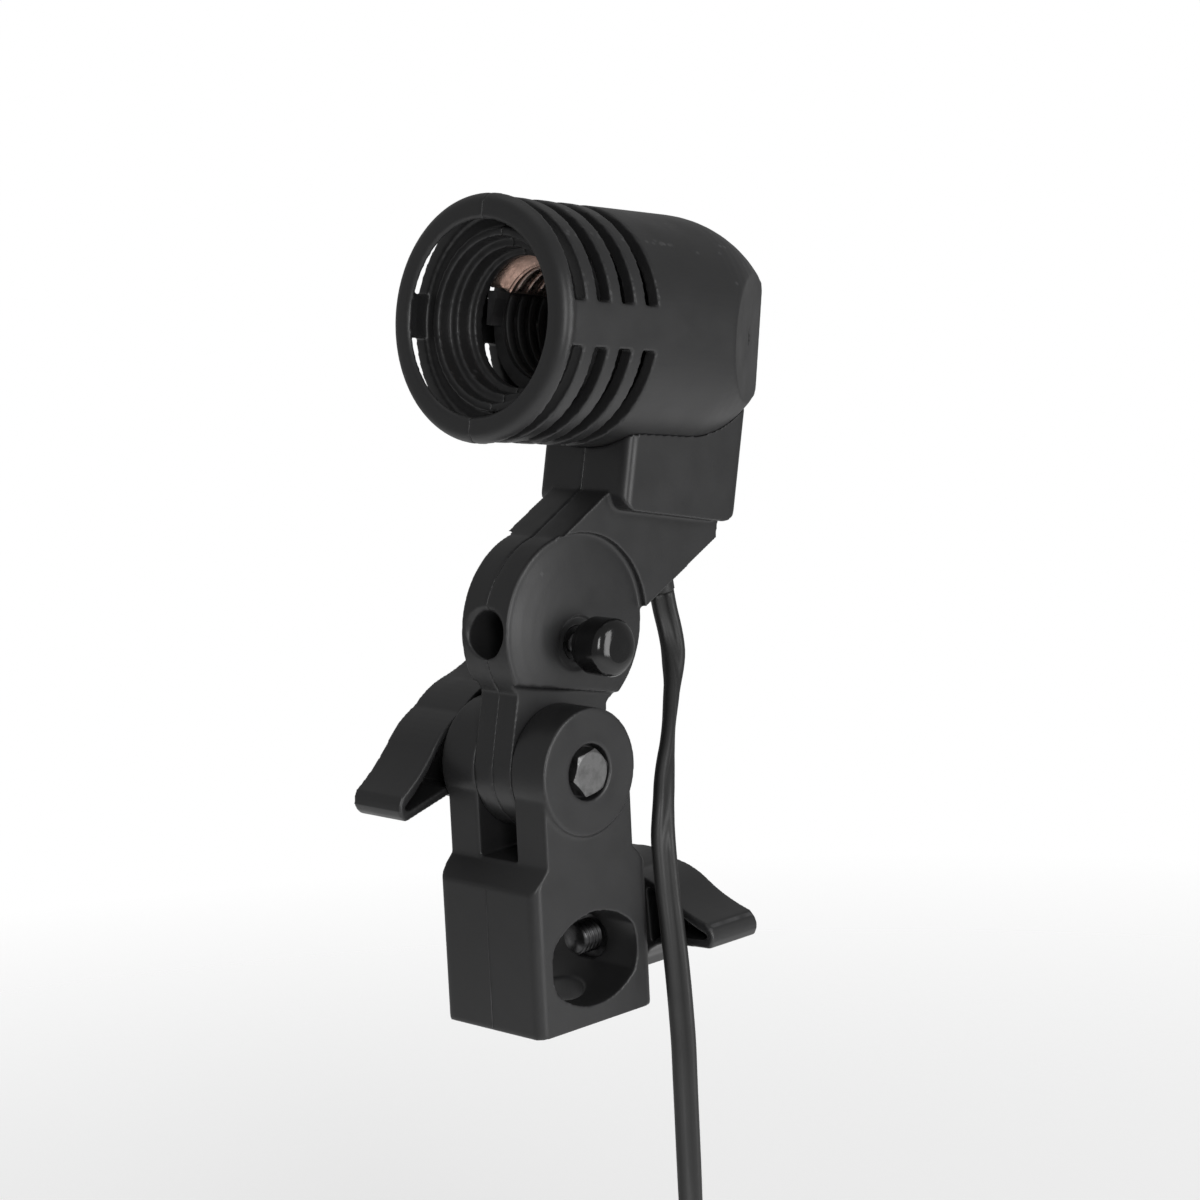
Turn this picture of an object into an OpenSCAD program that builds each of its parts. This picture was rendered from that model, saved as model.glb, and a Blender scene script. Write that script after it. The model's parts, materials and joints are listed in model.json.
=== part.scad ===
// Swivel bracket for one screw-base lamp and a shoot-through umbrella.
// A base that slips over a stand spigot carries a tilting moulded body, which
// holds the umbrella shaft low down and the lamp socket at its top.
// Frame: +Z up, lamp mouth towards -Y, tilt bolt head towards +X, and the
// origin at the centre of the spigot bore's mouth.

/* [Base] */
// Width of the base, side to side
base_w = 32; // [31:0.5:38]
// Depth of the base, front to back
base_d = 38; // [37:0.5:42]
// Height of the box below the sloping shoulders
base_h = 34.5; // [34:0.5:38]
// Height of the tilt axis above the spigot bore's mouth
pivot_h = 60; // [60:0.5:66]
// Diameter of the bore for the stand spigot
spigot_d = 16.2; // [16:0.1:17]
// Height of the lock screw and of the side window's middle
lock_h = 15.5; // [15:0.5:17]

/* [Tilting body] */
// Lean of the body behind the vertical, in degrees
lean = 12.4; // [0:0.1:30]
// Thickness of the tongue between the ears
tongue_t = 12; // [11:0.5:13]
// Height of the umbrella boss's middle above the tilt axis
boss_h = 32.6; // [31:0.2:36]
// Radius of the umbrella boss
boss_r = 22.3; // [20:0.1:23]
// Diameter of the umbrella hole
umbrella_d = 11; // [9:0.5:12]

/* [Lamp housing] */
// Height of the lamp axis above the tilt axis
head_h = 102.7; // [101:0.1:105]
// Nod of the lamp axis against the tilting body, in degrees
nod = 3.5; // [0:0.1:5]
// Outer radius of the lamp housing
head_r = 28; // [27.5:0.1:29]
// Width of one cooling slot
slot_s = 4.1; // [3:0.1:5]
// Inner radius of the socket
socket_r = 13.4; // [13.3:0.1:13.6]

/* [Handles] */
// Reach of a handle's wing from its axis
wing_r = 30; // [27:0.5:31]
// Width of a handle along its axis
wing_w = 16; // [14:0.5:18]

/* [Cord] */
// Width of the flat cord
cord_d = 6; // [5:0.5:7]
// Radius of the coil at the middle of its turns
coil_r = 33; // [30:1:36]

/* [Hidden] */
$fn = 72;
gap = 0.05;
e = 0.01;

// Base
shoulder_h = 5;            // rise of the sloping shoulders
ear_d = 28.6;              // depth of the ears
ear_boss_r = 15;           // round pad on each ear
ear_boss_t = 1;
slot_w = tongue_t + 0.2;
slot_floor = base_h + shoulder_h + 0.5;
bore_h = 33;               // depth of the spigot bore
window_hw = 14;            // half width and half height of the side window
window_hh = 11;
pad_x = base_w / 2 + ear_boss_t;
bolt_r = 3;
bolt_head_af = 10;
bolt_recess_r = 6.6;
bolt_recess = 3.4;
lock_r = 4;

// Tilting body
tongue_r = 15;
boss_w = 15;               // width of the boss between its domed pads
boss_flat = 14.4;          // the pads' flat bottom edge below the boss middle
dome = 1.8;                // rise of each domed pad
hole_h = boss_h - 3.4;     // height of the umbrella hole and of its screw
neck_w = 28.8;
neck_front = 4.8;
neck_rear = 44.6;
neck_low = 61;
wall = 2.8;
arm_hw = 9.2;              // half thickness of the arm between the boss and the neck
exit_yz = [33.5, 48.7];    // where the cord leaves the arm
exit_lean = 24;            // the cord channel's lean against the body
arm_slope = 39.5;          // slope of the arm's rear edge
channel_r = 3.6;
clamp_yz = [24, 68.5];     // middle of the cord clamp
clamp_gap = 2.2;           // half the gap that the clamp leaves for the leads
clamp_screw_y = [clamp_yz[0] - 5.3, clamp_yz[0] + 5.3];
upper_screw_r = 1.5;
pillar_r = 4.4;             // of the posts that the neck and top screws run in
shell_tongue_hw = 3;       // half thickness of the lamp shell's tongue

// Lamp housing, by distance in front of the lamp axis's own origin
head_front = 35;
head_rear = 45.7;
lip_r = 3;
lip_t = 1.2;               // thickness of the mouth's rim
mouth_r = 22.3;
slot_pitch = 7.85;
slot_first = 27.5;
web_hw = 5.1;
core_front = 13;
socket_floor = -1;         // where the socket's round wall ends
pocket_floor = -4;         // floor of the pocket that holds the centre contact
flange_front = -6;
flange_rear = -9;

// Handles
wing_rise = 18;            // how far each wing rises from the line across the handle
tilt_x = -pad_x - 0.6;     // inner face of the tilt lever's wings
tilt_hub_x = tilt_x - 1;   // inner face of its hub, recessed for the washer
lock_y = base_d / 2 + 1.4; // inner face of the lock knob's stem
lock_wing_y = 25.6;        // inner face of the lock knob's wings

// Cord: its route from the boot to the coil, and from the coil to the plug.
// Both run down the line where the coil's turns go straight down.
lead_path = [[0, 44.5, 94.2], [0, 45.5, 89.3], [1, 45.8, 84.4], [2.7, 44.8, 79.7],
  [4.9, 42, 75], [7.4, 38.5, 70.4], [9.9, 34.8, 65.5], [12.3, 31.2, 60],
  [14.5, 27.6, 54], [16.7, 24.4, 47.5], [18.2, 22.2, 40.5], [19.2, 21.5, 33],
  [20, 21.3, 25.5], [21.1, 21.1, 17.5], [22, 21, 9], [22.6, 21, 0],
  [23, 21, -9], [23, 21, -18], [23, 21, -27], [23, 21, -36], [23, 21, -45],
  [23, 21, -54], [23, 21, -63], [23, 21, -72], [23, 21, -81], [23, 21, -90]];
coil_c = [23 - coil_r, 21, -100];
tail_path = [[23, 27, -110], [23, 27, -120], [23, 27, -130], [23, 27, -142]];
plug_top = [23, 27, -142];

function arc(c, r, a0, a1, n = 10) =
  [for (i = [0:n]) c + r * [cos(a0 + (a1 - a0) * i / n), sin(a0 + (a1 - a0) * i / n)]];
function bezier(a, b, c, n = 8) =
  [for (i = [0:n]) let (t = i / n) (1 - t) * (1 - t) * a + 2 * t * (1 - t) * b + t * t * c];

// A round tube swept along points, with flat ends.
function unit(v) = v / norm(v);
function heading(p, i) = unit(p[min(i + 1, len(p) - 1)] - p[max(i - 1, 0)]);
function ring(p, i, r, side, n) = let (t = heading(p, i), u = unit(cross(t, side)), v = cross(t, u))
  [for (k = [0:n - 1]) p[i] + r * (cos(360 * k / n) * u + sin(360 * k / n) * v)];
module tube(p, r, side = [1, 0, 0], n = 10) {
  m = len(p);
  points = [for (i = [0:m - 1]) each ring(p, i, r, side, n)];
  faces = concat([[for (k = [0:n - 1]) k]],
    [for (i = [0:m - 2], k = [0:n - 1]) [i * n + k, (i + 1) * n + k,
      (i + 1) * n + (k + 1) % n, i * n + (k + 1) % n]],
    [[for (k = [n - 1:-1:0]) (m - 1) * n + k]]);
  polyhedron(points, faces);
}

module along_x(x = 0, y = 0, z = 0) translate([x, y, z]) rotate([0, 90, 0]) children();
module along_y(x = 0, y = 0, z = 0) translate([x, y, z]) rotate([-90, 0, 0]) children();
module upper() translate([0, 0, pivot_h]) rotate([-lean, 0, 0]) children();
module head() upper() translate([0, 0, head_h]) rotate([nod, 0, 0]) children();
// Turns a profile of radius against forward distance about the lamp axis.
module turned(points) rotate([90, 0, 0]) rotate_extrude() polygon(points);
// Extrudes a side profile, drawn as Y against Z, from x0 to x1.
module side_profile(x0, x1) translate([x0, 0, 0]) rotate([90, 0, 90])
  linear_extrude(x1 - x0) children();
module rounded(w, d, r) {
  square([w - 2 * r, d], center = true);
  square([w, d - 2 * r], center = true);
  for (x = [-1, 1], y = [-1, 1]) translate([x * (w / 2 - r), y * (d / 2 - r)]) circle(r);
}
module pan_screw(r, l, head_r, head_t) {
  translate([0, 0, -head_t / 2]) cylinder(r = r, h = head_t / 2 + l);
  translate([0, 0, -head_t]) difference() {
    cylinder(r = head_r, h = head_t);
    for (a = [0, 90]) rotate(a) translate([-head_r * 0.6, -0.35, -e])
      cube([head_r * 1.2, 0.7, head_t * 0.5]);
  }
}

// ---------------------------------------------------------------- base
module base_body() color("#2a2a2c") difference() {
  intersection() {
    side_profile(-pad_x, pad_x) union() {
      polygon([[-base_d / 2, 0], [base_d / 2, 0], [base_d / 2, base_h],
        [ear_d / 2, base_h + shoulder_h], [ear_d / 2, pivot_h], [-ear_d / 2, pivot_h],
        [-ear_d / 2, base_h + shoulder_h], [-base_d / 2, base_h]]);
      translate([0, pivot_h]) circle(ear_boss_r);
    }
    union() {
      linear_extrude(pivot_h + ear_boss_r) rounded(base_w, base_d, 2.5);
      along_x(-pad_x, 0, pivot_h) cylinder(r = ear_boss_r, h = 2 * pad_x);
    }
  }
  translate([-slot_w / 2, -base_d, slot_floor]) cube([slot_w, 2 * base_d, 60]);
  translate([0, 0, -e]) cylinder(d = spigot_d, h = bore_h);
  along_x(-base_w, 0, 0) linear_extrude(2 * base_w) rotate(90) side_window();
  along_x(-base_w, 0, pivot_h) cylinder(r = bolt_r + 0.1, h = 2 * base_w);
  along_x(pad_x - bolt_recess, 0, pivot_h) cylinder(r = bolt_recess_r, h = 10);
  along_y(0, window_hw - 1, lock_h) cylinder(r = 5.8, h = 10);
}
// The oval window through both sides: three arcs that meet.
module side_window() {
  flat_r = 18;
  intersection() {
    translate([0, lock_h]) circle(window_hw);
    translate([0, lock_h + window_hh - flat_r]) circle(flat_r);
    translate([0, lock_h - window_hh + flat_r]) circle(flat_r);
  }
}
module lock_insert() color("#3a3a3b") along_y(0, window_hw + 0.3, lock_h) difference() {
  cylinder(r = 5.8, h = 4.4);
  translate([0, 0, -1]) cylinder(r = lock_r + gap, h = 8);
}
module lock_screw() color("#3a3a3b") along_y(0, spigot_d / 2 + 0.9, lock_h)
  cylinder(r = lock_r, h = 24);
module lock_knob() color("#242426") along_y(0, lock_wing_y, lock_h) mirror([0, 1, 0]) rotate(-14)
  wing_handle(lock_wing_y - lock_y, lock_r + gap, 24 - (lock_wing_y - spigot_d / 2 - 0.9));

// ------------------------------------------------------------- handles
// One wing: a full upper curve that runs out to the tip, and a flat underside.
function wing(g) = concat(bezier([0, 13.5 - g], [8, 13.5 - g], [14, 9.4 - g]),
  bezier([14, 9.4 - g], [19.5, 5 - g], [wing_r - 2.2 - g, 2.2 - g]),
  bezier([wing_r - 2.2 - g, 2.2 - g], [wing_r + 1 - g, -0.6], [wing_r - 1.6 - g, -3.8 + g], 4),
  bezier([14, -3.8 + g], [7, -4.6 + g], [4 + g, -11], 4));
// A handle along +Z with two hollow wings in a wide V, a solid hub, and a stem below.
module wing_handle(stem, core_r, core_h) difference() {
  union() {
    difference() {
      linear_extrude(wing_w) {
        circle(10);
        for (m = [0, 1]) mirror([m, 0, 0]) rotate(wing_rise) polygon(concat([[0, 0]], wing(0)));
      }
      translate([0, 0, -1]) linear_extrude(wing_w - 1.6)
        for (m = [0, 1]) mirror([m, 0, 0]) rotate(wing_rise) intersection() {
          polygon(concat([[8, -1]], wing(2)));
          translate([9.2, -20]) square([40, 40]);
        }
    }
    cylinder(r = 8.6, h = wing_w - 1);
    translate([0, 0, -stem]) cylinder(r = 7.6, h = stem + 1);
  }
  translate([0, 0, -stem - 1]) cylinder(r = core_r, h = stem + 1 + core_h);
}

// ---------------------------------------------------------- tilt pivot
module tilt_bolt() color("#9a9b9d") {
  along_x(pad_x - bolt_recess, 0, pivot_h) rotate(12)
    cylinder(d = bolt_head_af / cos(30), h = 4.2, $fn = 6);
  along_x(-29, 0, pivot_h) cylinder(r = bolt_r, h = 29 + pad_x - bolt_recess);
}
module tilt_washer() color("#a5a6a8") along_x(tilt_hub_x + 0.15, 0, pivot_h) difference() {
  cylinder(r = 7, h = 1.4);
  translate([0, 0, -1]) cylinder(r = bolt_r + 0.1, h = 4);
}
module tilt_lever() color("#262628") translate([tilt_x, 0, pivot_h]) rotate([123, 0, 0])
  rotate([0, -90, 0]) difference() {
    wing_handle(0, 5 + gap, 12);
    translate([0, 0, -1]) cylinder(r = 7.3, h = 2);
  }
module tilt_nut() color("#b59a55") along_x(tilt_hub_x - 10.9, 0, pivot_h) difference() {
  cylinder(r = 5, h = 10.8);
  translate([0, 0, -1]) cylinder(r = bolt_r + gap, h = 14);
}
module tilt_bush() color("#a5a6a8") upper() along_x(-tongue_t / 2, 0, 0) difference() {
  cylinder(r = 4.5, h = tongue_t);
  translate([0, 0, -1]) cylinder(r = bolt_r + gap, h = tongue_t + 2);
}

// ------------------------------------------------------- moulded halves
// Outline of the round housing: lip, collar, barrel and domed rear.
function head_outline() = concat([[0, -head_rear], [head_r - 9.6, -head_rear],
    [head_r - 7.8, -head_rear + 1.1]],
  arc([head_r - 33, -23], 33, -38, 0, 8),
  [[head_r, slot_first + slot_s], [head_r + 0.5, slot_first + slot_s],
    [head_r + 0.5, head_front - lip_r]],
  arc([head_r + 0.5 - lip_r, head_front - lip_r], lip_r, 0, 90, 6), [[0, head_front]]);
function head_hollow() = [[0, -42], [15.5, -42], [20.5, -35], [24.6, -22],
  [24.6, head_front - lip_t - 0.8], [mouth_r, head_front - lip_t],
  [mouth_r, head_front - 0.9], [mouth_r + 1, head_front + 0.1],
  [0, head_front + 0.1]];
// Stepped rings inside the mouth, carried by the first rib.
function mouth_rings() = [[19, 28.5], [21, 28.5], [21, 26.8], [25, 26.8], [25, 24.2],
  [19.2, 24.2], [19.2, 20.6], [17.4, 20.6], [17.4, 18], [15.2, 18], [15.2, 20.5],
  [16.8, 20.5], [16.8, 24.6], [19, 24.6]];

module slots() for (k = [0:3]) {
  s = slot_first - k * slot_pitch;
  difference() {
    turned([[head_r - 1, s], [40, s], [40, s + slot_s], [head_r - 1, s + slot_s]]);
    for (x = [-1, 1]) translate([x * 30 - 15, -60, -web_hw]) cube([30, 120, 2 * web_hw]);
  }
  difference() {
    turned([[23.5, s], [40, s], [40, s + slot_s], [23.5, s + slot_s]]);
    translate([-50, -60, -web_hw]) cube([100, 120, 2 * web_hw]);
    translate([-4, -60, -50]) cube([8, 120, 100]);
  }
}
// What the two flat facets that narrow the rear take away.
module facets() for (m = [0, 1]) mirror([m, 0, 0])
  translate([head_r - 0.1, 22.5, -40]) rotate(30) cube([30, 60, 80]);
module neck_outline() {
  r1 = 4.5;
  r2 = 5;
  translate([neck_front, neck_low + r1]) square([neck_rear - neck_front, 24]);
  translate([neck_front + r1, neck_low])
    square([neck_rear - neck_front - r1 - r2, 20]);
  translate([neck_front + r1, neck_low + r1]) circle(r1);
  translate([neck_rear - r2, neck_low + r2]) circle(r2);
}
module neck_solid() upper() intersection() {
  side_profile(-neck_w / 2, neck_w / 2) neck_outline();
  translate([0, (neck_front + neck_rear) / 2, neck_low - 5])
    linear_extrude(50) rounded(neck_w, neck_rear - neck_front, 2.6);
}
// The slab from the tilt axis up to the neck, and the umbrella boss on it.
module arm_solid() upper() {
  side_profile(-tongue_t / 2, tongue_t / 2) {
    circle(tongue_r);
    translate([-tongue_r, 0]) square([2 * tongue_r, boss_h]);
    translate([0, boss_h]) circle(boss_r);
    arm_outline();
  }
  side_profile(-arm_hw, arm_hw) difference() {
    arm_outline();
    translate([0, boss_h]) circle(boss_r);
  }
  intersection() {
    side_profile(-boss_w / 2, boss_w / 2) boss_outline(boss_r);
    translate([-50, -50, boss_h - boss_flat]) cube([100, 100, 100]);
  }
  for (m = [0, 1]) mirror([m, 0, 0]) intersection() {
    side_profile(boss_w / 2 - 1, boss_w / 2 + dome) boss_outline(boss_r - 0.8);
    along_x(boss_w / 2 + dome - 125, 0, boss_h) sphere(125, $fn = 180);
  }
}
module arm_outline() polygon([[-15, 48], [neck_front, 65], [neck_front + 2, 65],
  [neck_front + 2, neck_low + 2], [neck_rear - 1, neck_low + 2],
  [neck_rear - 1, exit_yz[1] + (neck_rear - 1 - exit_yz[0]) * tan(arm_slope)],
  [17.6, exit_yz[1] - (exit_yz[0] - 17.6) * tan(arm_slope)], [0, boss_h]]);
module boss_outline(r) intersection() {
  translate([0, boss_h]) circle(r);
  union() {
    translate([-r, boss_h - boss_flat + 4]) square([2 * r, 2 * r]);
    translate([-r + 4.6, boss_h - boss_flat]) square([2 * r - 9.2, 2 * r]);
    for (s = [-1, 1]) translate([s * (r - 6.2), boss_h - boss_flat + 5]) circle(5);
  }
}
// The five housing screws: Y, Z, where the head sits in X, and the shank's length.
screw_tongue = [0, 13.6, -3.4, 8];
screw_boss = [-12.5, 44, -3.4, 8];
screw_arm = [9, 55.6, -3.4, 8];
screw_neck = [36.5, 67, -8, 18];
screw_top = [30, 11, -14, 26];
module screw_hole(p) along_x(p[2], p[0], p[1]) {
  cylinder(r = upper_screw_r + gap, h = p[3] + 0.5);
  translate([0, 0, -30]) cylinder(r = 3.1, h = 30);
}
module upper_screw(p) color("#7d7e80") along_x(p[2], p[0], p[1])
  pan_screw(upper_screw_r, p[3], 2.8, 1.8);
module pillar(p, l) along_x(-l, p[0], p[1]) cylinder(r = pillar_r, h = 2 * l);

// The tongue of the lamp shell that the neck screw holds between the halves.
module shell_tongue(half, r) upper() side_profile(-half, half) {
  translate([screw_neck[0], screw_neck[1]]) circle(r);
  translate([screw_neck[0] - r, screw_neck[1]]) square([2 * r, 18]);
}
module shell_solid() difference() {
  union() {
    difference() {
      union() {
        head() turned(head_outline());
        shell_tongue(shell_tongue_hw, pillar_r);
      }
      head() turned(head_hollow());
    }
    head() turned(mouth_rings());
    for (s = [flange_front + 0.1, flange_rear - 2.6])
      head() turned([[20.5, s], [25, s], [25, s + 2.5], [20.5, s + 2.5]]);
    head() intersection() {
      pillar(screw_top, 30);
      turned(head_outline());
    }
  }
  head() {
    slots();
    facets();
    screw_hole(screw_top);
  }
  upper() {
    screw_hole(screw_neck);
    // The leads' way down into the neck
    translate([-neck_w / 2 + wall, neck_front + wall, neck_low + wall])
      cube([neck_w - 2 * wall, screw_neck[0] - pillar_r - neck_front - 2 * wall, 20]);
  }
}
module housing_solid() difference() {
  union() {
    difference() {
      neck_solid();
      upper() translate([-neck_w / 2 + wall, neck_front + wall, neck_low + wall])
        cube([neck_w - 2 * wall, neck_rear - neck_front - 2 * wall, 40]);
    }
    arm_solid();
    upper() intersection() {
      pillar(screw_neck, 14.4);
      side_profile(-14.4, 14.4) neck_outline();
    }
    // Rib in the left half that the cord clamp is screwed to
    upper() translate([-neck_w / 2 + 1, clamp_yz[0] - 7.5, clamp_yz[1] - 2.5])
      cube([neck_w / 2 - 1 - clamp_gap, 15, 5]);
  }
  head() turned(head_outline());
  shell_tongue(shell_tongue_hw + gap, pillar_r + gap);
  upper() {
    along_y(0, -40, hole_h) cylinder(d = umbrella_d, h = 80);
    for (m = [0, 1]) mirror([0, m, 0]) along_y(0, boss_r - 1.4, hole_h)
      cylinder(r1 = umbrella_d / 2 - 0.1, r2 = umbrella_d / 2 + 1.4, h = 1.5);
    along_x(4, 0, hole_h) cylinder(r = 4, h = 20);
    along_x(boss_w / 2 + dome - 0.9, 0, hole_h) cylinder(r = 6.4, h = 20);
    along_x(-20, 0, 0) cylinder(r = 4.5, h = 40);
    translate([0, exit_yz[0], exit_yz[1]]) rotate([exit_lean, 0, 0])
      translate([0, 0, -10]) cylinder(r = channel_r, h = 27.5);
    screw_hole(screw_tongue);
    screw_hole(screw_boss);
    screw_hole(screw_arm);
    screw_hole(screw_neck);
    for (y = clamp_screw_y) along_x(-9, y, clamp_yz[1]) cylinder(r = 1.3 + gap, h = 8);
  }
}
module left_half() intersection() {
  children();
  translate([-100, -150, 0]) cube([100, 400, 400]);
}
module right_half() intersection() {
  children();
  translate([0, -150, 0]) cube([100, 400, 400]);
}
module housing_left() color("#2c2c2e") left_half() housing_solid();
module housing_right() color("#2c2c2e") right_half() housing_solid();
module lamp_shell_left() color("#2c2c2e") left_half() shell_solid();
module lamp_shell_right() color("#2c2c2e") right_half() shell_solid();
module housing_screw_tongue() upper() upper_screw(screw_tongue);
module housing_screw_boss() upper() upper_screw(screw_boss);
module housing_screw_arm() upper() upper_screw(screw_arm);
module housing_screw_neck() upper() upper_screw(screw_neck);
module housing_screw_top() head() upper_screw(screw_top);

// -------------------------------------------------------------- socket
module socket_core() color("#1c1c1d") head() difference() {
  union() {
    turned([[0, flange_rear], [24.4, flange_rear], [24.4, flange_front],
      [16.5, flange_front], [16.5, core_front], [0, core_front]]);
    translate([-15.4, -16.5, -1]) cube([2.6, 5, 8]);
  }
  turned([[0, pocket_floor], [socket_r - 1, pocket_floor], [socket_r - 1, socket_floor],
    [socket_r, socket_floor], [socket_r, core_front], [socket_r + 0.4, core_front],
    [socket_r + 0.4, 30], [0, 30]]);
  contact_sector() turned([[socket_r - 1, socket_floor], [socket_r + 0.65, socket_floor],
    [socket_r + 0.65, 30], [socket_r - 1, 30]]);
  along_x(-20, -2.5, -0.8) cylinder(r = 1.7 + gap, h = 10);
  for (x = [-9, 9]) along_y(x, 5, 6) cylinder(r = 1.5 + gap, h = 20);
  along_y(0, 2, 0) cylinder(r = 1.6 + gap, h = 20);
  for (x = [-9, 9]) along_y(x, 2, -6) cylinder(r = 1.2, h = 20);
}
// Keeps the stretch of a turned piece from 54 to 150 degrees round the lamp axis.
module contact_sector() intersection() {
  children();
  rotate([90, 0, 0]) translate([0, 0, -40]) linear_extrude(80)
    polygon([[0, 0], [18, 25], [-8, 32], [-26, 15]]);
}
// A leaf in the socket's wall, folded out over the core and forward again.
module shell_contact() color("#c9aa98") head() contact_sector() {
  inner = socket_r + gap;
  outer = socket_r + 0.6;
  brim = socket_r + 2.5;
  fold = core_front + gap;
  turned([[inner, socket_floor + 0.1], [outer, socket_floor + 0.1], [outer, fold],
    [brim, fold], [brim, fold + 4.5], [brim - 0.5, fold + 4.5], [brim - 0.5, fold + 0.6],
    [inner + 0.3, fold + 0.6], [inner + 0.3, core_front - 0.1], [inner, core_front - 0.1]]);
}
module centre_contact() color("#c8c2b0") head() {
  turned([[0, pocket_floor], [3.6, pocket_floor], [3.6, pocket_floor + 0.8],
    [2.2, pocket_floor + 1.8], [0, pocket_floor + 2.2]]);
  turned([[0, -11.5], [1.6, -11.5], [1.6, pocket_floor + 0.1], [0, pocket_floor + 0.1]]);
}
module side_rivet() color("#d5d5d2") head() along_x(-16.9, -2.5, -0.8) cylinder(r = 1.7, h = 3.6);
module terminal_screw(x) color("#b59a55") head() along_y(x, 11.2, 6) mirror([0, 0, 1])
  pan_screw(1.5, 6, 2.6, 1.6);
module terminal_screw_live() terminal_screw(9);
module terminal_screw_neutral() terminal_screw(-9);
// Route of a lead from its terminal through the clamp into the boot, in the body's
// frame. The side is 1 for the right lead and -1 for the left one.
function lead_route(side) = [[side * 9, 13, 109.4], [side * 9, 15.6, 108.8],
  [side * 8.6, 18, 106], [side * 7.4, 19.6, 101], [side * 5.6, 20.8, 95],
  [side * 3.8, 22, 88], [side * 2.2, 23.2, 81], [side * 1.1, 24, 74], [side * 1.1, 24.3, 70],
  [side * 1.1, 25.3, 66.9], [side * 1.1, 26.6, 64], [side * 1.1, 27.8, 61.5],
  [side * 1.1, 29.2, 58.3]];
module lead_live() color("#7a3b20") upper() tube(lead_route(1), 1.05, n = 8);
module lead_neutral() color("#2b4a8c") upper() tube(lead_route(-1), 1.05, n = 8);

// -------------------------------------------------------- cord anchorage
module cord_clamp() color("#333335") upper() difference() {
  translate([clamp_gap, clamp_yz[0] - 7.5, clamp_yz[1] - 2.5]) cube([2, 15, 5]);
  for (y = clamp_screw_y) along_x(0, y, clamp_yz[1]) cylinder(r = 1.3 + gap, h = 8);
}
module clamp_screw(y) color("#7d7e80") upper() along_x(clamp_gap + 2, y, clamp_yz[1])
  mirror([0, 0, 1]) pan_screw(1.3, 12, 2.4, 1.5);
module clamp_screw_front() clamp_screw(clamp_screw_y[0]);
module clamp_screw_rear() clamp_screw(clamp_screw_y[1]);
// Tapered relief: a plug inside the arm and a short nose below it.
module cord_boot() color("#19191a") upper() translate([0, exit_yz[0], exit_yz[1]])
  rotate([exit_lean, 0, 0]) translate([0, 0, -6.2]) difference() {
  rotate_extrude() polygon([[0, 0], [3.3, 0], [3.45, 6.2], [channel_r - gap, 6.5],
    [channel_r - gap, 21], [0, 21]]);
  translate([0, 0, 8]) cylinder(r = 2.2, h = 20);
}

// ------------------------------------------------------- umbrella screw
module umbrella_insert() color("#3a3a3b") upper() along_x(umbrella_d / 2 + 0.6, 0, hole_h) difference() {
  cylinder(r = 4, h = 2.2);
  translate([0, 0, -1]) cylinder(r = 2.5 + gap, h = 4);
}
module umbrella_screw() color("#3a3a3b") upper() along_x(umbrella_d / 2 + 0.2, 0, hole_h)
  cylinder(r = 2.5, h = 12.5);
module umbrella_knob() color("#161617") upper() along_x(14, 0, hole_h) difference() {
  union() {
    translate([0, 0, -1.6]) cylinder(r = 5.8, h = 2);
    rotate_extrude() polygon(concat([[0, 0], [6.4, 0], [6.8, 0.5], [6.8, 6.4]],
      bezier([6.6, 6.8], [5.8, 8.1], [3.4, 8.5], 5), [[0, 8.7]]));
  }
  translate([0, 0, -3]) cylinder(r = 2.5 + gap, h = 3 + 12.5 + umbrella_d / 2 + 0.2 - 14);
}

// ---------------------------------------------------------------- cord
module cord_lead() color("#161617") tube(lead_path, cord_d / 2 - 0.6);
module cord_coil() color("#161617") along_y(coil_c[0], coil_c[1] - 9.5, coil_c[2])
  rotate_extrude() translate([coil_r - 5.5, 0]) square([11, 19]);
module cord_tie() color("#2e2e30") translate(coil_c) translate([coil_r, 0, -3])
  difference() {
    linear_extrude(6) rounded(14.2, 22.2, 2);
    translate([0, 0, -1]) linear_extrude(8) rounded(12.6, 20.6, 1.4);
  }
module cord_tail() color("#161617") tube(tail_path, cord_d / 2 - 0.6);
module plug_body() color("#19191a") translate(plug_top) mirror([0, 0, 1]) {
  rotate_extrude() polygon([[0, 0], [3.4, 0], [5, 18], [0, 18]]);
  translate([0, 0, 17]) linear_extrude(20) rounded(30, 13.5, 6.7);
}
module plug_pin(x) color("#b9babc") translate(plug_top + [x, 0, -37]) mirror([0, 0, 1]) {
  cylinder(r = 2, h = 18);
  translate([0, 0, 18]) sphere(2);
}
module plug_pin_left() plug_pin(-9.3);
module plug_pin_right() plug_pin(9.3);

base_body();
lock_insert();
lock_screw();
lock_knob();
tilt_bolt();
tilt_washer();
tilt_lever();
tilt_nut();
tilt_bush();
housing_left();
housing_right();
lamp_shell_left();
lamp_shell_right();
housing_screw_tongue();
housing_screw_boss();
housing_screw_arm();
housing_screw_neck();
housing_screw_top();
socket_core();
shell_contact();
centre_contact();
side_rivet();
terminal_screw_live();
terminal_screw_neutral();
lead_live();
lead_neutral();
cord_clamp();
clamp_screw_front();
clamp_screw_rear();
cord_boot();
umbrella_insert();
umbrella_screw();
umbrella_knob();
cord_lead();
cord_coil();
cord_tie();
cord_tail();
plug_body();
plug_pin_left();
plug_pin_right();
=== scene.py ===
"""The looks of an umbrella swivel bracket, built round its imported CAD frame.

Lengths are in metres in the frame's own axes: +Z up, lamp mouth towards -Y.
"""

import json
import math

import bmesh
import bpy
from mathutils import Matrix, Vector

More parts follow.
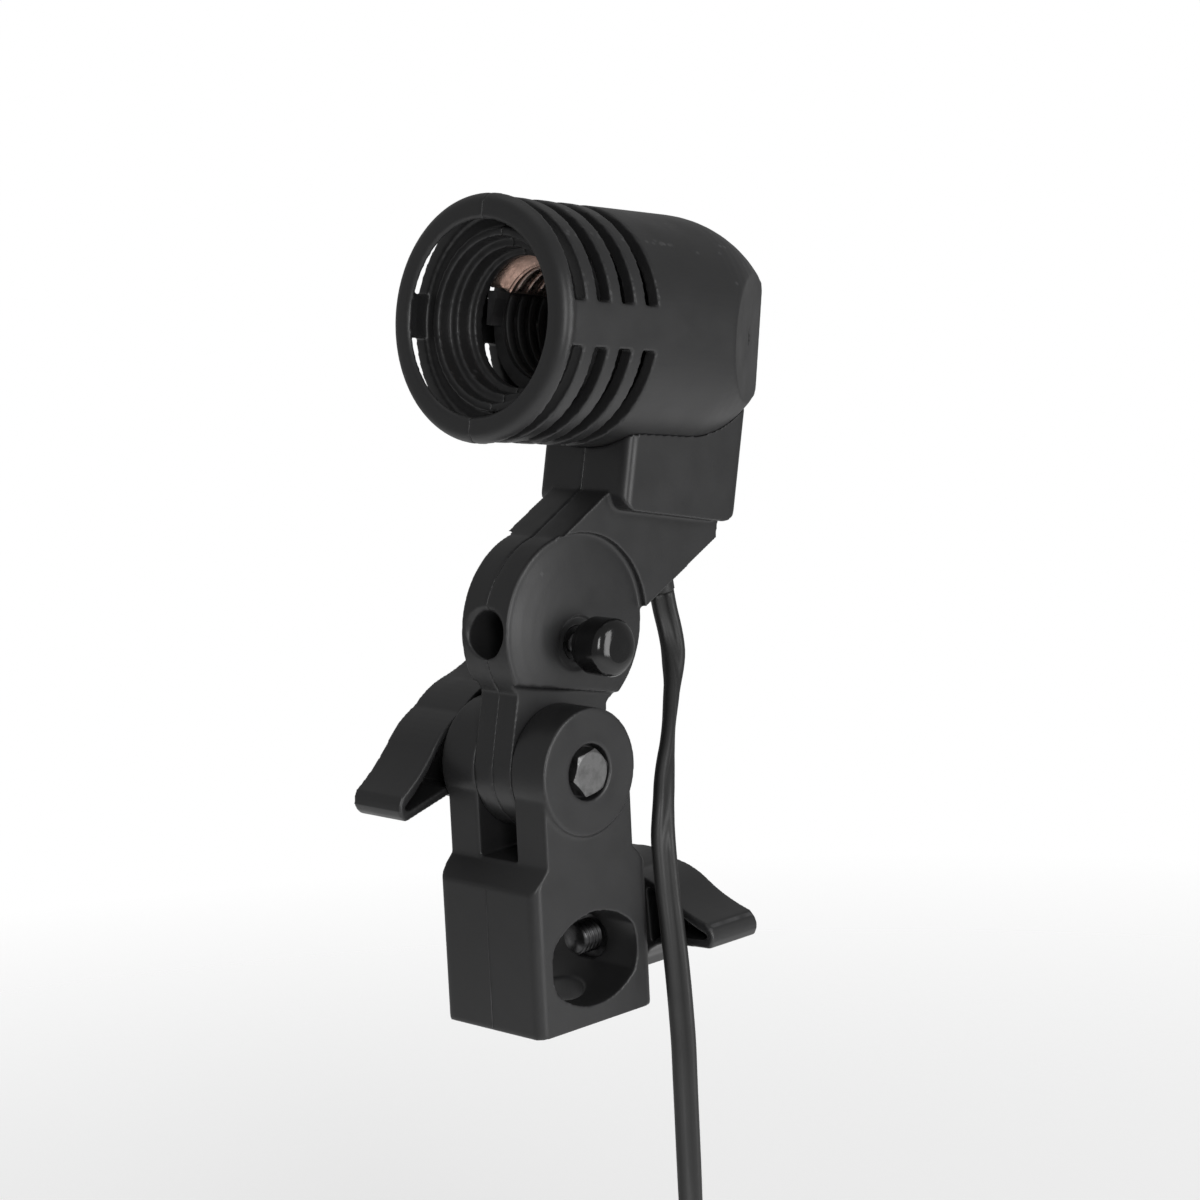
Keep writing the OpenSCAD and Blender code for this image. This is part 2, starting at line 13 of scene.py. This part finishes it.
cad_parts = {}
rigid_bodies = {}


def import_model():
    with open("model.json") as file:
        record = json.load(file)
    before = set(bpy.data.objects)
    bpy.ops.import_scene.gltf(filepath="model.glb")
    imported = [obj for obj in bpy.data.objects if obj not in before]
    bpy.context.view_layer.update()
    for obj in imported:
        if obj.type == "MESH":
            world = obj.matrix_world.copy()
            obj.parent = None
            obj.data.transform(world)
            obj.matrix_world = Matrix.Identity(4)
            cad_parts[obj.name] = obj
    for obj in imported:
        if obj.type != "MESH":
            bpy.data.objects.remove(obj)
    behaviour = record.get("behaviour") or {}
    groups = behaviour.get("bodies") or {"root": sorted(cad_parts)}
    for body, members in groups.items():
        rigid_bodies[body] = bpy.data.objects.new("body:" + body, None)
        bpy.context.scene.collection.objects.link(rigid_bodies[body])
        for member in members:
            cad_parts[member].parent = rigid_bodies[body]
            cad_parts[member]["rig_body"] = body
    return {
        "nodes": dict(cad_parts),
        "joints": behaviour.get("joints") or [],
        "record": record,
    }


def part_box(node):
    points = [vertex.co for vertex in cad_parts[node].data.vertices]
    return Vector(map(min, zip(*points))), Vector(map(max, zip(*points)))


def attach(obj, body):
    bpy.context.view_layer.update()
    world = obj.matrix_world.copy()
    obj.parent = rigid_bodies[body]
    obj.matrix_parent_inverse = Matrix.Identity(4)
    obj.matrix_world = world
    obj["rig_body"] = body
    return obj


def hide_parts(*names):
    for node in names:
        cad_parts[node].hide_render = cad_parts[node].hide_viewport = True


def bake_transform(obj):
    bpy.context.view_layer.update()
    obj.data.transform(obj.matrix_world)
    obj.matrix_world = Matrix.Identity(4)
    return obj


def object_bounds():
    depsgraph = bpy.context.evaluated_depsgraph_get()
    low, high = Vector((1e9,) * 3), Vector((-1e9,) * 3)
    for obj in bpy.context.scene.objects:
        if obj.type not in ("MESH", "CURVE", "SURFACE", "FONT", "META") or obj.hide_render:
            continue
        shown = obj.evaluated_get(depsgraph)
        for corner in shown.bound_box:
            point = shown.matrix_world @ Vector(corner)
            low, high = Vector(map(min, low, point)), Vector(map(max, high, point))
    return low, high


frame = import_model()
CAD_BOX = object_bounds()
MM = 0.001
NODES = frame["nodes"]
MOUNTS = {m["name"]: m for m in frame["record"]["mounts"]}
JOINTS = {j["name"]: j for j in frame["joints"]}
SLOTS = {s["node"]: s["material_slot"] for s in frame["record"]["subparts"]}


def leaning(origin, axis):
    """A frame at origin that leans back so that its -Y is the axis."""
    lean = math.atan2(axis[2], -axis[1])
    return Matrix.Translation(origin) @ Matrix.Rotation(-lean, 4, "X")


PIVOT = Vector(JOINTS["tilt"]["pos_m"])
SOCKET_MOUTH, SOCKET_AXIS = (Vector(MOUNTS["lamp_socket"][k]) for k in ("pos_m", "axis"))
SOCKET_DEPTH = 13 * MM  # from the lamp axis's own origin to the socket's mouth
HEAD = leaning(SOCKET_MOUTH - SOCKET_AXIS * SOCKET_DEPTH, SOCKET_AXIS)


# ---------------------------------------------------------------- camera
def make_camera():
    """A long lens in front and to the right, a little above, tilted slightly."""
    azimuth, elevation, roll = (math.radians(a) for a in (44.65, 9.81, -2.74))
    distance, target = 0.792, Vector((0.01169, 0.01143, 0.09811))
    back = Vector((
        math.sin(azimuth) * math.cos(elevation),
        -math.cos(azimuth) * math.cos(elevation),
        math.sin(elevation),
    ))
    level = Vector((math.cos(azimuth), math.sin(azimuth), 0))
    upright = back.cross(level)
    right = level * math.cos(roll) + upright * math.sin(roll)
    up = upright * math.cos(roll) - level * math.sin(roll)
    data = bpy.data.cameras.new("camera")
    data.lens, data.sensor_width = 102.4, 36
    camera = bpy.data.objects.new("camera", data)
    bpy.context.scene.collection.objects.link(camera)
    turn = Matrix((right, up, back)).transposed().to_4x4()
    camera.matrix_world = Matrix.Translation(target + back * distance) @ turn
    bpy.context.scene.camera = camera


make_camera()


# ---------------------------------------------------------------- meshes
def new_object(name, points, faces):
    mesh = bpy.data.meshes.new(name)
    mesh.from_pydata([tuple(p) for p in points], [], faces)
    mesh.validate()
    mesh.shade_smooth()
    piece = bpy.data.objects.new(name, mesh)
    bpy.context.scene.collection.objects.link(piece)
    return piece


def applied(piece):
    """The piece with its modifiers made part of its mesh."""
    depsgraph = bpy.context.evaluated_depsgraph_get()
    depsgraph.update()
    mesh = bpy.data.meshes.new_from_object(piece.evaluated_get(depsgraph))
    piece.modifiers.clear()
    piece.data = mesh
    return piece


def softened(node, voxel, rounds, name=None):
    """A copy of a CAD node with its edges rounded as a moulding's are."""
    mesh = NODES[node].data.copy()
    mesh.materials.clear()
    work = bmesh.new()
    work.from_mesh(mesh)
    bmesh.ops.remove_doubles(work, verts=work.verts, dist=1e-6)
    work.to_mesh(mesh)
    work.free()
    piece = bpy.data.objects.new(name or node + "_shell", mesh)
    bpy.context.scene.collection.objects.link(piece)
    remesh = piece.modifiers.new("remesh", "REMESH")
    remesh.mode, remesh.voxel_size = "VOXEL", voxel
    remesh.use_smooth_shade = True
    smooth = piece.modifiers.new("smooth", "SMOOTH")
    smooth.factor, smooth.iterations = 0.5, rounds
    return applied(piece)


def finished(piece, node, material, *others):
    """The piece rides with a CAD node, stands for it, and takes its finish."""
    piece.data.materials.clear()
    piece.data.materials.append(material)
    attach(piece, NODES[node]["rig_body"])
    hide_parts(node, *others)
    return piece


def swept(name, path, section, side):
    """A section, a list of (across, out) pairs, swept along a path with closed ends.
    side(i) is the direction that the section's width lies along at point i."""
    points, n = [], len(section)
    for i, p in enumerate(path):
        ahead = (path[min(i + 1, len(path) - 1)] - path[max(i - 1, 0)]).normalized()
        across = side(i)
        across = (across - ahead * across.dot(ahead)).normalized()
        out = ahead.cross(across)
        points += [p + across * a + out * b for a, b in section]
    faces = [
        (i * n + k, i * n + (k + 1) % n, (i + 1) * n + (k + 1) % n, (i + 1) * n + k)
        for i in range(len(path) - 1)
        for k in range(n)
    ]
    faces += [tuple(range(n))[::-1], tuple(range(len(points) - n, len(points)))]
    return new_object(name, points, faces)


def along(origin, axis):
    """A frame at origin whose Z lies along the axis."""
    turn = Vector(axis).to_track_quat("Z", "Y").to_matrix().to_4x4()
    return Matrix.Translation(origin) @ turn


def turned(name, place, stations, radius, around=48):
    """A closed piece about the Z of place. radius(z, angle) gives its surface,
    and stations are the heights along Z where it is worked out."""
    points = [place @ Vector((0, 0, stations[0]))]
    for z in stations:
        for k in range(around):
            angle = 2 * math.pi * k / around
            r = radius(z, angle)
            points.append(place @ Vector((r * math.cos(angle), r * math.sin(angle), z)))
    points.append(place @ Vector((0, 0, stations[-1])))
    faces = [(0, 1 + (k + 1) % around, 1 + k) for k in range(around)]
    for i in range(len(stations) - 1):
        a, b = 1 + i * around, 1 + (i + 1) * around
        faces += [
            (a + k, a + (k + 1) % around, b + (k + 1) % around, b + k) for k in range(around)
        ]
    last, top = len(points) - 1, 1 + (len(stations) - 1) * around
    faces += [(last, top + k, top + (k + 1) % around) for k in range(around)]
    return new_object(name, points, faces)


def steps(low, high, step):
    """Even steps from low to high, none longer than step."""
    count = max(1, math.ceil((high - low) / step))
    return [low + (high - low) * i / count for i in range(count + 1)]


def thread(r, pitch, start, end):
    """The radius of a screw thread, run out to a chamfer at both ends."""
    depth = 0.54 * pitch

    def radius(z, angle):
        turn = (z / pitch - angle / (2 * math.pi)) % 1
        tooth = min(1, 1.25 * abs(2 * turn - 1))
        ends = min(z - start, end - z) + r - depth
        return min(r - depth * (1 - tooth), max(ends, r * 0.4))

    return radius


# ------------------------------------------------------------- materials
class Nodes:
    """A material's node tree, with short calls to add and join nodes."""

    def __init__(self, name):
        self.material = bpy.data.materials.new(name)
        self.material.use_nodes = True
        self.tree = self.material.node_tree
        self.shader = self.tree.nodes["Principled BSDF"]
        self.coords = self.add("ShaderNodeTexCoord").outputs["Object"]

    def add(self, kind, inputs=None, **settings):
        node = self.tree.nodes.new(kind)
        for key, value in settings.items():
            setattr(node, key, value)
        for key, value in (inputs or {}).items():
            self.set(node.inputs[key], value)
        return node

    def set(self, socket, value):
        if isinstance(value, bpy.types.NodeSocket):
            self.tree.links.new(value, socket)
        else:
            socket.default_value = value

    def noise(self, size, detail=3.0, rough=0.5, stretch=(1, 1, 1)):
        """Noise whose features are about size metres across, from 0 to 1."""
        scaled = self.add(
            "ShaderNodeMapping", {"Vector": self.coords, "Scale": stretch}
        ).outputs["Vector"]
        inputs = {"Vector": scaled, "Scale": 1 / size, "Detail": detail, "Roughness": rough}
        return self.add("ShaderNodeTexNoise", inputs).outputs["Fac"]

    def between(self, value, low, high, out_low, out_high):
        inputs = {
            "Value": value, "From Min": low, "From Max": high,
            "To Min": out_low, "To Max": out_high,
        }
        return self.add("ShaderNodeMapRange", inputs).outputs["Result"]

    def mixed(self, share, a, b):
        node = self.add("ShaderNodeMix", data_type="RGBA")
        for key, value in ((0, share), (6, a), (7, b)):
            self.set(node.inputs[key], value)
        return node.outputs[2]

    def math(self, operation, a, b):
        node = self.add("ShaderNodeMath", operation=operation)
        self.set(node.inputs[0], a)
        self.set(node.inputs[1], b)
        return node.outputs[0]

    def bump(self, height, distance, strength=1.0, under=None):
        inputs = {"Height": height, "Distance": distance, "Strength": strength}
        if under is not None:
            inputs["Normal"] = under
        return self.add("ShaderNodeBump", inputs).outputs["Normal"]

    def edges(self, low=0.52, high=0.6):
        """1 on sharp convex edges, 0 elsewhere."""
        bent = self.add("ShaderNodeNewGeometry").outputs["Pointiness"]
        return self.between(bent, low, high, 0.0, 1.0)


def grey(value, tint=(1, 1, 1)):
    return (value * tint[0], value * tint[1], value * tint[2], 1)


def moulded_plastic(
    name, value, roughness, grain=0.00035, grain_depth=0.000012, wear_and_highlight=0.6, tint=(1, 1, 1.03)
):
    """Moulded plastic: fine grain, faint flow marks, and sharp edges lightened as rubbed
    wear and a painted highlight.
    """
    m = Nodes(name)
    clouds = m.noise(0.02, 4)
    base = m.mixed(clouds, grey(value * 0.82, tint), grey(value * 1.25, tint))
    # Sharp edges are lightened towards grey(value * 5): partly rubbed wear, partly a painted
    # highlight along the edges.
    rubbed_and_highlit = m.math("MULTIPLY", m.edges(), m.between(m.noise(0.004, 4), 0.35, 0.7, 0.1, wear_and_highlight))
    m.set(m.shader.inputs["Base Color"], m.mixed(rubbed_and_highlit, base, grey(value * 5, tint)))
    rough = m.between(m.noise(0.009, 5), 0.3, 0.7, roughness - 0.05, roughness + 0.06)
    polish = m.math("MULTIPLY", rubbed_and_highlit, 0.08)
    m.set(m.shader.inputs["Roughness"], m.math("SUBTRACT", rough, polish))
    waves = m.bump(m.noise(0.012, 2), 0.00012, 0.6)
    m.set(m.shader.inputs["Normal"], m.bump(m.noise(grain, 2), grain_depth, 1.0, waves))
    m.shader.inputs["Specular IOR Level"].default_value = 0.5
    return m.material


def plated_metal(name, colour, roughness, marks=0.5):
    """Plated metal with fine scratches and darker dull patches."""
    m = Nodes(name)
    m.shader.inputs["Metallic"].default_value = 1.0
    patches = m.noise(0.0022, 5, 0.6)
    dull = tuple(c * 0.55 for c in colour) + (1,)
    share = m.between(patches, 0.4, 0.68, 0.0, marks)
    m.set(m.shader.inputs["Base Color"], m.mixed(share, tuple(colour) + (1,), dull))
    scratches = m.noise(0.0004, 3, 0.6, (1, 1, 6))
    marked = m.math("ADD", scratches, patches)
    rough = m.between(marked, 0.8, 1.2, roughness - 0.1, roughness + 0.14)
    m.set(m.shader.inputs["Roughness"], rough)
    m.set(m.shader.inputs["Normal"], m.bump(scratches, 0.00001, 0.6))
    return m.material


def cord_jacket():
    """Black PVC jacket: a soft sheen with faint drag marks along it."""
    m = Nodes("cord_jacket")
    base = m.mixed(m.noise(0.012, 4), grey(0.01), grey(0.018))
    m.set(m.shader.inputs["Base Color"], base)
    m.set(m.shader.inputs["Roughness"], m.between(m.noise(0.005, 4), 0.3, 0.7, 0.4, 0.52))
    m.set(m.shader.inputs["Normal"], m.bump(m.noise(0.0009, 3), 0.00003, 0.5))
    return m.material


HOUSING = moulded_plastic("housing_plastic", 0.017, 0.4)
KNOB = moulded_plastic("knob_plastic", 0.019, 0.36)
SOCKET = moulded_plastic("socket_plastic", 0.012, 0.5)
GLOSS = moulded_plastic("gloss_knob", 0.006, 0.14, 0.0006, 0.000004, 0.2)
TIE = moulded_plastic("tie_plastic", 0.03, 0.45)
ZINC = plated_metal("zinc", (0.22, 0.22, 0.22), 0.44, 0.9)
BLACK_STEEL = plated_metal("black_steel", (0.1, 0.1, 0.102), 0.36, 0.8)
BRASS = plated_metal("brass", (0.7, 0.55, 0.27), 0.34)
CONTACT = plated_metal("contact_metal", (0.86, 0.7, 0.63), 0.3, 0.3)
RIVET = plated_metal("rivet_metal", (0.88, 0.87, 0.85), 0.2, 0.2)
PINS = plated_metal("pin_metal", (0.78, 0.77, 0.74), 0.22, 0.2)
JACKET = cord_jacket()
BROWN = moulded_plastic("lead_brown", 0.12, 0.4, tint=(1.6, 0.6, 0.25))
BLUE = moulded_plastic("lead_blue", 0.12, 0.4, tint=(0.3, 0.8, 2.2))
SLOT_MATERIALS = {
    "housing_plastic": HOUSING, "knob_plastic": KNOB, "gloss_knob": GLOSS,
    "socket_plastic": SOCKET, "zinc": ZINC, "black_steel": BLACK_STEEL, "brass": BRASS,
    "contact_metal": CONTACT, "rivet_metal": RIVET, "pin_metal": PINS,
    "cord_plastic": JACKET, "tie_plastic": TIE, "lead_brown": BROWN, "lead_blue": BLUE,
}


# ------------------------------------------------------------------ cord
CORD_WIDTH, CORD_THICK, CORD_LENGTH = 0.006, 0.0032, 1.91
# The lead's and the tail's routes, in millimetres
LEAD_ROUTE = [
    (0, 44.5, 94.2), (0, 45.5, 89.3), (1, 45.8, 84.4), (2.7, 44.8, 79.7),
    (4.9, 42, 75), (7.4, 38.5, 70.4), (9.9, 34.8, 65.5), (12.3, 31.2, 60),
    (14.5, 27.6, 54), (16.7, 24.4, 47.5), (18.2, 22.2, 40.5), (19.2, 21.5, 33),
    (20, 21.3, 25.5), (21.1, 21.1, 17.5), (22, 21, 9), (22.6, 21, 0),
    (23, 21, -9), (23, 21, -18), (23, 21, -27), (23, 21, -36), (23, 21, -45),
    (23, 21, -54), (23, 21, -63), (23, 21, -72), (23, 21, -81), (23, 21, -90),
]
TAIL_ROUTE = [(23, 27, -110), (23, 27, -120), (23, 27, -130), (23, 27, -142)]
COIL_TURNS, POINTS_PER_TURN = 8, 72
# Where each turn lies in the coil's section: steps outwards and along the axis
COIL_CELLS = [
    (0, 0), (-1, 1), (-1, 0), (-1, -1), (0, -1), (1, -1), (1, 0), (1, 1), (0, 1),
]
# How far the flat side has turned about the vertical: height in metres and degrees
TWIST = [
    (0.0942, 45), (0.083, 50), (0.071, 120), (0.064, 130), (0.05, 95), (0.036, 55),
    (0.0, 45), (-0.03, 55), (-0.075, 90),
]


def eased(t):
    """0 to 1 with a soft start and end."""
    t = min(max(t, 0), 1)
    return t * t * (3 - 2 * t)


def curve_through(points, step):
    """Points about a step apart on a smooth curve through the given ones."""
    p = [points[0] * 2 - points[1], *points, points[-1] * 2 - points[-2]]
    out = [points[0]]
    for a, b, c, d in zip(p, p[1:], p[2:], p[3:]):
        count = max(1, round((c - b).length / step))
        for i in range(1, count + 1):
            t = i / count
            out.append(
                (b * 2 + (c - a) * t + (a * 2 - b * 5 + c * 4 - d) * t * t
                 + (b * 3 - a - c * 3 + d) * t ** 3) / 2
            )
    return out


def coil_points():
    """The turns, from the side where the cord comes down, round and out below."""
    low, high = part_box("cord_coil")
    centre = (low + high) / 2
    middle = LEAD_ROUTE[-1][0] * MM - centre.x
    layer, row = CORD_THICK + 0.0001, CORD_WIDTH + 0.00005
    out = []
    for i in range(COIL_TURNS * POINTS_PER_TURN + 1):
        turn, part = divmod(i, POINTS_PER_TURN)
        a, b = COIL_CELLS[turn], COIL_CELLS[min(turn + 1, COIL_TURNS)]
        # The cord changes its cell in the middle two fifths of each turn
        share = eased((part / POINTS_PER_TURN - 0.3) / 0.4)
        radius = middle + layer * (a[0] + (b[0] - a[0]) * share)
        y = row * (a[1] + (b[1] - a[1]) * share)
        angle = 2 * math.pi * part / POINTS_PER_TURN
        out.append(centre + Vector((radius * math.cos(angle), y, -radius * math.sin(angle))))
    return out


def cord_section():
    """Two round strands side by side, with a shallow groove between them."""
    strand, waist = CORD_THICK / 2, CORD_THICK * 0.36
    off = CORD_WIDTH / 2 - strand
    half = []
    for k in range(13):
        angle = math.pi * k / 12
        x = CORD_WIDTH / 2 * math.cos(angle)
        if abs(x) >= off:
            y = math.sqrt(max(strand ** 2 - (abs(x) - off) ** 2, 0))
        else:
            y = waist + (strand - waist) * eased(abs(x) / off)
        half.append((x, y))
    return half + [(x, -y) for x, y in half[-2:0:-1]]


def make_cord():
    """The flat twin cord: it hangs from the arm, turns in the coil and ends at the plug."""
    lead = curve_through([Vector(p) * MM for p in LEAD_ROUTE], 0.0015)
    tail = curve_through([Vector(p) * MM for p in TAIL_ROUTE], 0.003)
    path = lead + coil_points() + tail

    def side(i):
        z = path[i].z
        angle = TWIST[-1][1] if i >= len(lead) or z < TWIST[-1][0] else TWIST[0][1]
        for (z0, a0), (z1, a1) in zip(TWIST, TWIST[1:]):
            if i < len(lead) and z1 <= z <= z0:
                angle = a0 + (a1 - a0) * eased((z0 - z) / (z0 - z1))
        return Vector((math.cos(math.radians(angle)), math.sin(math.radians(angle)), 0))

    cord = swept("cord", path, cord_section(), side)
    cord.data.materials.append(JACKET)
    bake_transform(cord)
    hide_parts("cord_lead", "cord_coil", "cord_tail")
    return cord, path


CORD, CORD_PATH = make_cord()
PLUG = finished(softened("plug_body", 0.0004, 4, "plug_shell"), "plug_body", JACKET)
TIE_PIECE = finished(softened("cord_tie", 0.0003, 2, "tie_strap"), "cord_tie", TIE)


# ------------------------------------------------------------ mouldings
finished(softened("base_body", 0.0004, 5), "base_body", HOUSING)
for half in ("housing_left", "housing_right", "lamp_shell_left", "lamp_shell_right"):
    finished(softened(half, 0.0004, 4), half, HOUSING)
finished(softened("tilt_lever", 0.00035, 5), "tilt_lever", KNOB)
finished(softened("lock_knob", 0.00035, 5), "lock_knob", KNOB)
finished(softened("umbrella_knob", 0.0002, 3), "umbrella_knob", GLOSS)
finished(softened("cord_boot", 0.00025, 2), "cord_boot", JACKET)


# ------------------------------------------------------ threads and metal
def screw(node, axis, pitch):
    """A threaded screw in place of a CAD node's plain shank."""
    low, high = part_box(node)
    centre = (low + high) / 2
    axis = Vector(axis)
    across = [v for v, a in zip(high - low, axis) if abs(a) < 0.5]
    r, length = min(across) / 2, (high - low).dot(axis)
    place = along(centre - axis * length / 2, axis)
    stations = steps(0, length, pitch / 7)
    piece = turned(node + "_thread", place, stations, thread(r, pitch, 0, length), 40)
    finished(piece, node, BLACK_STEEL)


def tilt_bolt():
    """The pivot bolt: a chamfered hexagon head, a plain shank and a threaded end."""
    low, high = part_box("tilt_bolt")
    to_x = Matrix.Rotation(math.pi / 2, 4, "Y")
    place = Matrix.Translation((low.x, PIVOT.y, PIVOT.z)) @ to_x
    length, head, flats, shank = high.x - low.x, 4.2 * MM, 10 * MM, 3 * MM
    top, thread_end = length - head, 14 * MM
    threaded = thread(shank, 1 * MM, 0, thread_end)
    turn = math.radians(102)
    chamfer_r, chamfer_slope = flats / 2 - 0.25 * MM, 1.9

    def radius(z, angle):
        if z < thread_end:
            return threaded(z, angle)
        if z < top - 1e-9:
            return shank
        side = (angle - turn) % (math.pi / 3) - math.pi / 6
        hexagon = flats / 2 / math.cos(side)
        return min(hexagon, chamfer_r + (length - z) * chamfer_slope)

    ends = [length - d * MM for d in (0.6, 0.45, 0.3, 0.15, 0)]
    stations = steps(0, thread_end, 0.14 * MM) + [top - 1e-6, top, *ends]
    bolt = turned("tilt_bolt_threaded", place, stations, radius, 96)
    bolt.data.shade_flat()
    finished(bolt, "tilt_bolt", ZINC)


tilt_bolt()
screw("lock_screw", (0, 1, 0), 1.25 * MM)
screw("umbrella_screw", (1, 0, 0), 0.8 * MM)


def socket_thread(name, start, end, material):
    """Ridges of the lamp thread on the socket's wall, from one angle to another."""
    wall, height, pitch = MOUNTS["lamp_socket"]["dims"]["r_mm"] * MM, 0.62 * MM, 3.62 * MM
    sunk = 0.04 * MM  # how far the ridges' feet stand in the wall
    first_turn, last_turn = 11.2 * MM, 0.6 * MM  # in front of the lamp axis's origin
    section = [(-1.5, 0), (-1.0, 0.5), (-0.4, 0.9), (0.4, 0.9), (1.0, 0.5), (1.5, 0)]
    section = [(a * MM, b * height) for a, b in section]
    points, faces = [], []
    count = max(2, round((end - start) / 7))
    for turn in range(4):
        first = len(points)
        for i in range(count + 1):
            angle = math.radians(start + (end - start) * i / count)
            forward = first_turn - pitch * (turn + angle / (2 * math.pi) - start / 360)
            forward = max(forward, last_turn)
            for a, b in section:
                r = wall + sunk - b
                spot = Vector((r * math.cos(angle), -(forward + a), r * math.sin(angle)))
                points.append(HEAD @ spot)
        n = len(section)
        for i in range(count):
            for k in range(n - 1):
                a = first + i * n + k
                faces.append((a, a + n, a + n + 1, a + 1))
            a = first + i * n
            faces.append((a, a + n - 1, a + 2 * n - 1, a + n))
        faces.append(tuple(range(first, first + n)))
        faces.append(tuple(range(first + count * n, first + (count + 1) * n))[::-1])
    piece = new_object(name, points, faces)
    piece.data.materials.append(material)
    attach(piece, "lamp_body")


socket_thread("socket_thread", 152, 412, SOCKET)
socket_thread("contact_thread", 56, 148, CONTACT)


def ridge(name, body, path, width, height, out, material):
    """A thin half-round ridge, such as a moulding's parting line, along a path."""
    section = [
        (width / 2 * math.cos(math.pi * k / 6), height * math.sin(math.pi * k / 6))
        for k in range(7)
    ]
    ahead = (path[1] - path[0]).normalized()
    side = Vector(out).cross(ahead)
    piece = swept(name, path, section, lambda i: side)
    piece.data.materials.append(material)
    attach(piece, body)


BASE_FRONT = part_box("base_body")[0].y
ridge(
    "base_seam", "base",
    [Vector((0, BASE_FRONT + 0.02 * MM, z * MM)) for z in (0.6, 12, 24, 33.6)],
    0.35 * MM, 0.14 * MM, (0, -1, 0), HOUSING,
)

# The CAD nodes that still show take the material of their slot
for node, piece in NODES.items():
    if not piece.hide_render:
        piece.data.materials.clear()
        piece.data.materials.append(SLOT_MATERIALS[SLOTS[node]])


# ----------------------------------------------------------------- stage
def make_stage():
    """A round pale floor under the hanging cord, which fades out at its rim."""
    low, reach, rings, around = CAD_BOX[0].z, 1.1, 12, 64
    fade_start, fade_end = 0.42, 0.95
    points, faces = [Vector((0, 0, low))], []
    for i in range(1, rings + 1):
        for k in range(around):
            angle = 2 * math.pi * k / around
            r = reach * i / rings
            points.append(Vector((r * math.cos(angle), r * math.sin(angle), low)))
    faces = [(0, 1 + k, 1 + (k + 1) % around) for k in range(around)]
    for i in range(rings - 1):
        a, b = 1 + i * around, 1 + (i + 1) * around
        faces += [
            (a + k, b + k, b + (k + 1) % around, a + (k + 1) % around) for k in range(around)
        ]
    floor = new_object("floor", points, faces)
    m = Nodes("floor_paper")
    m.set(m.shader.inputs["Base Color"], m.mixed(m.noise(0.3, 3), grey(0.9), grey(0.93)))
    m.shader.inputs["Roughness"].default_value = 0.9
    m.shader.inputs["Emission Color"].default_value = (1, 1, 1, 1)
    m.shader.inputs["Emission Strength"].default_value = 0.4
    reached = m.add("ShaderNodeVectorMath", {0: m.coords}, operation="LENGTH")
    alpha = m.between(reached.outputs["Value"], fade_start, fade_end, 1.0, 0.0)
    m.set(m.shader.inputs["Alpha"], alpha)
    floor.data.materials.append(m.material)


def make_light(name, energy, width, height, place, aim):
    data = bpy.data.lights.new(name, "AREA")
    data.shape = "RECTANGLE"
    data.energy, data.size, data.size_y = energy, width, height
    lamp = bpy.data.objects.new(name, data)
    bpy.context.scene.collection.objects.link(lamp)
    lamp.location = place
    lamp.rotation_euler = (Vector(aim) - Vector(place)).to_track_quat("-Z", "Y").to_euler()


def make_lights():
    """Softboxes at the right and near the camera, and a white room that lights
    the object less than it shows."""
    middle = (0, 0.02, 0.1)
    make_light("side", 5.5, 0.4, 0.9, (1.05, 0.3, 0.2), middle)
    make_light("front", 2.8, 0.2, 0.5, (0.75, -0.5, 0.35), middle)
    make_light("top", 0.8, 0.8, 0.8, (-0.2, 0.1, 1.2), middle)
    world = bpy.data.worlds.new("studio")
    bpy.context.scene.world = world
    world.use_nodes = True
    tree = world.node_tree
    shown = tree.nodes["Background"]
    shown.inputs["Color"].default_value = (1, 1, 1, 1)
    shown.inputs["Strength"].default_value = 1.0
    felt = tree.nodes.new("ShaderNodeBackground")
    felt.inputs["Color"].default_value = (1, 1, 1, 1)
    felt.inputs["Strength"].default_value = 0.29
    path, mix = tree.nodes.new("ShaderNodeLightPath"), tree.nodes.new("ShaderNodeMixShader")
    tree.links.new(path.outputs["Is Camera Ray"], mix.inputs[0])
    tree.links.new(felt.outputs[0], mix.inputs[1])
    tree.links.new(shown.outputs[0], mix.inputs[2])
    tree.links.new(mix.outputs[0], tree.nodes["World Output"].inputs["Surface"])


make_stage()
make_lights()
bpy.context.scene.view_settings.view_transform = "Standard"
